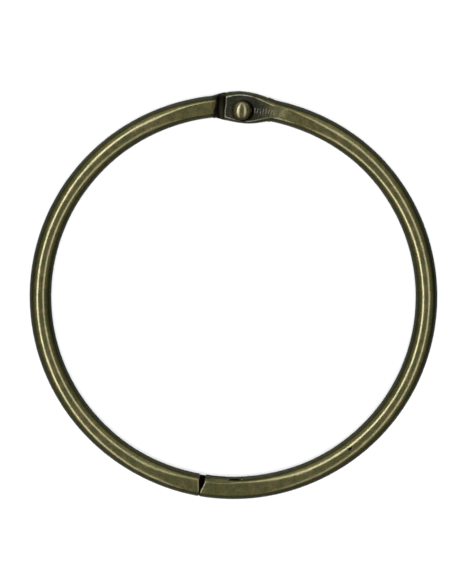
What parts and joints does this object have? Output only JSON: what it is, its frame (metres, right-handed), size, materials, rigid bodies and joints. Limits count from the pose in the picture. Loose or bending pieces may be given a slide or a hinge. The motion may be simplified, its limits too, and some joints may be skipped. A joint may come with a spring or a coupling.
{
  "type": "hinged loose-leaf ring",
  "caption": "Round wire ring in two halves that turn on a rivet and hook shut, for holding loose sheets, cards or keys.",
  "frame": {"origin": "centre of the closed ring, halfway through the wire's thickness", "axes": "+Z along the ring's axis, towards the side with the domed rivet head; +Y from the closure to the hinge; +X towards the fork arm"},
  "size_m": [0.0762, 0.0767, 0.0044],
  "materials": {
    "antique_bronze": "antique bronze plating over steel wire, darkened and brushed back",
    "rivet_bronze": "antique bronze plating, burnished on the dome"
  },
  "bodies": {
    "fork_arm": {"fork_half_ring": "antique_bronze", "hinge_rivet": "rivet_bronze"},
    "tongue_arm": {"tongue_half_ring": "antique_bronze"}
  },
  "joints": [
    {"name": "ring_hinge", "type": "hinge", "parent": "fork_arm", "child": "tongue_arm", "pos_m": [0, 0.03533, 0], "axis": [0, 0, -1], "range_deg": [0, 110]}
  ]
}
